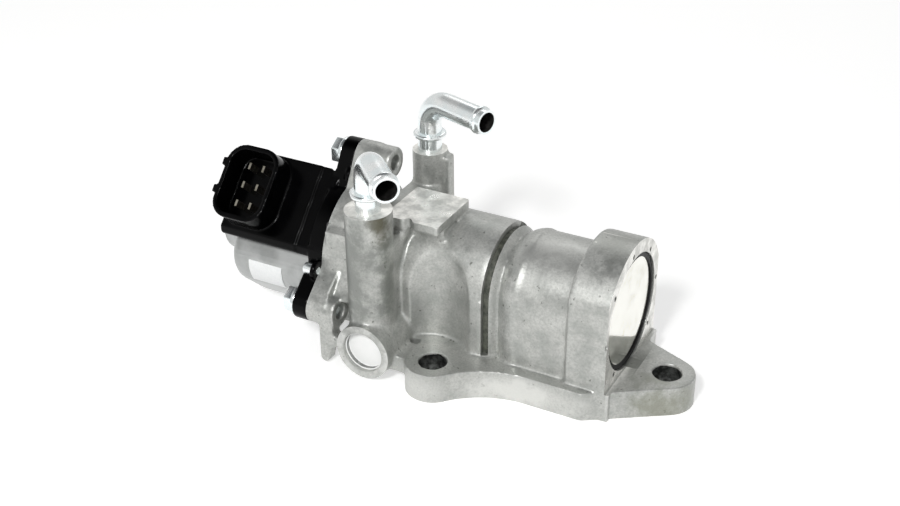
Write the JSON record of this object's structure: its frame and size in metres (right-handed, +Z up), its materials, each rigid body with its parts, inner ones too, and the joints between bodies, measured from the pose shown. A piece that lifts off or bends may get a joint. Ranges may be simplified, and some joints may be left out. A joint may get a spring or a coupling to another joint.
{
  "type": "exhaust gas recirculation valve",
  "caption": "Cast valve housing with gas ports in a lugged base flange, bent coolant tubes, plugged bore and a screw-fixed electric motor with connector.",
  "frame": {"origin": "centre of the gas inlet port in the underside of the base flange", "axes": "+X along the valve bore towards its plugged end, +Z up from the mounting face, -Y the side of the two lower motor cover screws that the picture shows"},
  "size_m": [0.167, 0.0812, 0.0789],
  "materials": {
    "cast_alloy": "sand-grained casting",
    "turned_alloy": "bright turned",
    "plated_steel": "bright zinc plated",
    "can_steel": "satin",
    "heat_steel": "turned, heat resistant",
    "spring_steel": "oiled",
    "core_steel": "soft magnetic sheet",
    "bearing_bronze": "sintered",
    "winding_copper": "enamelled wire",
    "terminal_tin": "tin plated",
    "black_rubber": "matt",
    "seal_plastic": "filled fluoroplastic",
    "nut_plastic": "moulded",
    "magnet_ferrite": "bonded ferrite",
    "cover_plastic": "moulded, glass filled",
    "label_film": "bare film"
  },
  "bodies": {
    "housing": {"valve_body": "cast_alloy", "end_plug": "turned_alloy", "end_plug_seal": "black_rubber", "core_plug": "plated_steel", "front_coolant_tube": "plated_steel", "rear_coolant_tube": "plated_steel", "valve_seat": "heat_steel", "stem_guide": "bearing_bronze", "stem_seal": "seal_plastic", "seal_retainer": "core_steel", "return_spring": "spring_steel", "front_bearing": "bearing_bronze", "rear_bearing": "bearing_bronze", "wave_washer": "spring_steel", "front_plate": "core_steel", "front_yoke": "core_steel", "rear_yoke": "core_steel", "front_coil": "winding_copper", "rear_coil": "winding_copper", "motor_can": "can_steel", "can_label": "label_film", "motor_cover": "cover_plastic", "terminals": "terminal_tin", "cover_gasket": "black_rubber", "cover_screws": "plated_steel", "cover_rivets": "plated_steel"},
    "valve": {"poppet_valve": "heat_steel", "spring_seat": "core_steel", "lead_screw": "heat_steel"},
    "rotor": {"rotor_nut": "nut_plastic", "rotor_magnet": "magnet_ferrite"}
  },
  "joints": [
    {"name": "valve_lift", "type": "slide", "parent": "housing", "child": "valve", "axis": [1, 0, 0], "range_m": [0, 0.0065], "deforming": ["return_spring"]},
    {"name": "rotor_spin", "type": "hinge", "parent": "housing", "child": "rotor", "pos_m": [-0.1, 0, 0.02815], "axis": [1, 0, 0], "range_deg": [0, 585]}
  ],
  "couplings": [
    {"joint": "rotor_spin", "follows": "valve_lift", "rad_per_m": 1570.7}
  ]
}
